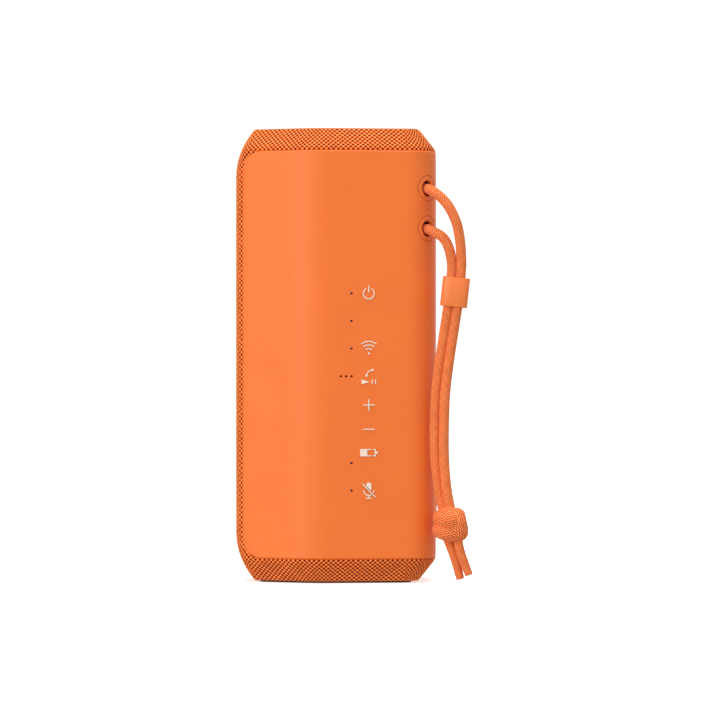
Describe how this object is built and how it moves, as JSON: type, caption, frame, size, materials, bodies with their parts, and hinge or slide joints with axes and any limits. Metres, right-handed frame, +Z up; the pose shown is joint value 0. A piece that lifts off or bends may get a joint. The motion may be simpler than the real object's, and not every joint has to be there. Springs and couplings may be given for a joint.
{
  "type": "portable speaker",
  "caption": "Upright fabric-wrapped portable speaker with a moulded control strip, raised keys and a braided carrying loop threaded through eyelets.",
  "frame": {"origin": "centre of the body's footprint, at the surface it stands on", "axes": "+Z up along the body, -Y out of the control panel, -X out of the driver side, +X out of the back with the charging port, +Y out of the flat side it lies on"},
  "size_m": [0.1094, 0.0777, 0.209],
  "materials": {
    "fabric_orange": "coarse open weave, dark holes between the yarns",
    "frame_brown": "moulded",
    "panel_orange": "fine satin moulding",
    "mark_cream": "satin",
    "lens_dark": "smooth",
    "foam_grey": "closed-cell foam",
    "board_green": "solder mask",
    "switch_metal": "plated",
    "eyelet_orange": "smooth",
    "plastic_black": "moulded",
    "cord_orange": "braided",
    "keeper_orange": "satin",
    "cap_orange": "satin",
    "rubber_dark": "matte",
    "screw_steel": "plated",
    "magnet_steel": "plated",
    "cone_black": "woven-fibre cone",
    "surround_black": "smooth",
    "spider_tan": "resin-dipped cloth",
    "diaphragm_grey": "satin",
    "cell_blue": "shrink wrap",
    "chip_grey": "moulded"
  },
  "bodies": {
    "speaker": {"fabric_cover": "fabric_orange", "sleeve_frame": "frame_brown", "top_end_frame": "frame_brown", "bottom_end_frame": "frame_brown", "control_panel": "panel_orange", "indicator_light_pipes": "lens_dark", "mic_gasket": "foam_grey", "key_board": "board_green", "key_switches": "switch_metal", "upper_eyelet": "eyelet_orange", "lower_eyelet": "eyelet_orange", "strap_anchor": "plastic_black", "strap_cord_inner": "cord_orange", "strap_cord_upper": "cord_orange", "strap_cord_lower": "cord_orange", "strap_knot": "cord_orange", "strap_tails": "cord_orange", "port_bezel": "panel_orange", "usb_socket": "switch_metal", "port_board": "board_green", "foot_ring": "rubber_dark", "side_feet": "rubber_dark", "front_baffle": "plastic_black", "cabinet_gasket": "foam_grey", "rear_cabinet": "plastic_black", "cabinet_screws": "screw_steel", "sound_diffuser": "plastic_black", "driver_frame_upper": "plastic_black", "driver_frame_lower": "plastic_black", "driver_motor_upper": "magnet_steel", "driver_motor_lower": "magnet_steel", "driver_surround_upper": "surround_black", "driver_surround_lower": "surround_black", "driver_spider_upper": "spider_tan", "driver_spider_lower": "spider_tan", "driver_screws": "screw_steel", "radiator_frame_top": "plastic_black", "radiator_frame_bottom": "plastic_black", "radiator_surround_top": "surround_black", "radiator_surround_bottom": "surround_black", "radiator_screws": "screw_steel", "battery_cells": "cell_blue", "battery_holder": "plastic_black", "main_board": "board_green", "board_parts": "chip_grey", "board_screws": "screw_steel"},
    "power_button": {"power_button": "mark_cream"},
    "wireless_button": {"wireless_button": "mark_cream"},
    "play_button": {"play_button": "mark_cream"},
    "volume_up_button": {"volume_up_button": "mark_cream"},
    "volume_down_button": {"volume_down_button": "mark_cream"},
    "battery_button": {"battery_button": "mark_cream"},
    "mic_mute_button": {"mic_mute_button": "mark_cream"},
    "upper_cone": {"driver_cone_upper": "cone_black"},
    "lower_cone": {"driver_cone_lower": "cone_black"},
    "top_radiator": {"radiator_diaphragm_top": "diaphragm_grey"},
    "bottom_radiator": {"radiator_diaphragm_bottom": "diaphragm_grey"},
    "port_cap": {"port_cap": "cap_orange"},
    "strap_keeper": {"strap_keeper": "keeper_orange"}
  },
  "joints": [
    {"name": "power_press", "type": "slide", "parent": "speaker", "child": "power_button", "axis": [-0.1219, 0.9925, 0], "range_m": [0, 0.0004], "stiffness_N_per_m": 1500, "springref_m": -0.0002},
    {"name": "wireless_press", "type": "slide", "parent": "speaker", "child": "wireless_button", "axis": [-0.1219, 0.9925, 0], "range_m": [0, 0.0004], "stiffness_N_per_m": 1500, "springref_m": -0.0002},
    {"name": "play_press", "type": "slide", "parent": "speaker", "child": "play_button", "axis": [-0.1219, 0.9925, 0], "range_m": [0, 0.0004], "stiffness_N_per_m": 1500, "springref_m": -0.0002},
    {"name": "volume_up_press", "type": "slide", "parent": "speaker", "child": "volume_up_button", "axis": [-0.1219, 0.9925, 0], "range_m": [0, 0.0004], "stiffness_N_per_m": 1500, "springref_m": -0.0002},
    {"name": "volume_down_press", "type": "slide", "parent": "speaker", "child": "volume_down_button", "axis": [-0.1219, 0.9925, 0], "range_m": [0, 0.0004], "stiffness_N_per_m": 1500, "springref_m": -0.0002},
    {"name": "battery_press", "type": "slide", "parent": "speaker", "child": "battery_button", "axis": [-0.1219, 0.9925, 0], "range_m": [0, 0.0004], "stiffness_N_per_m": 1500, "springref_m": -0.0002},
    {"name": "mic_mute_press", "type": "slide", "parent": "speaker", "child": "mic_mute_button", "axis": [-0.1219, 0.9925, 0], "range_m": [0, 0.0004], "stiffness_N_per_m": 1500, "springref_m": -0.0002},
    {"name": "upper_cone_excursion", "type": "slide", "parent": "speaker", "child": "upper_cone", "axis": [-1, 0, 0], "range_m": [-0.0015, 0.0015], "stiffness_N_per_m": 1800, "deforming": ["driver_surround_upper", "driver_spider_upper"]},
    {"name": "lower_cone_excursion", "type": "slide", "parent": "speaker", "child": "lower_cone", "axis": [-1, 0, 0], "range_m": [-0.0015, 0.0015], "stiffness_N_per_m": 1800, "deforming": ["driver_surround_lower", "driver_spider_lower"]},
    {"name": "top_radiator_excursion", "type": "slide", "parent": "speaker", "child": "top_radiator", "axis": [0, 0, 1], "range_m": [-0.003, 0.003], "stiffness_N_per_m": 900, "deforming": ["radiator_surround_top"]},
    {"name": "bottom_radiator_excursion", "type": "slide", "parent": "speaker", "child": "bottom_radiator", "axis": [0, 0, -1], "range_m": [-0.003, 0.003], "stiffness_N_per_m": 900, "deforming": ["radiator_surround_bottom"]},
    {"name": "port_cap_hinge", "type": "hinge", "parent": "speaker", "child": "port_cap", "pos_m": [0.04525, 0, 0.0571], "axis": [0, -1, 0], "range_deg": [0, 90]},
    {"name": "keeper_slide", "type": "slide", "parent": "speaker", "child": "strap_keeper", "axis": [-0.1599, 0, -0.9871], "range_m": [0, 0.019]}
  ]
}
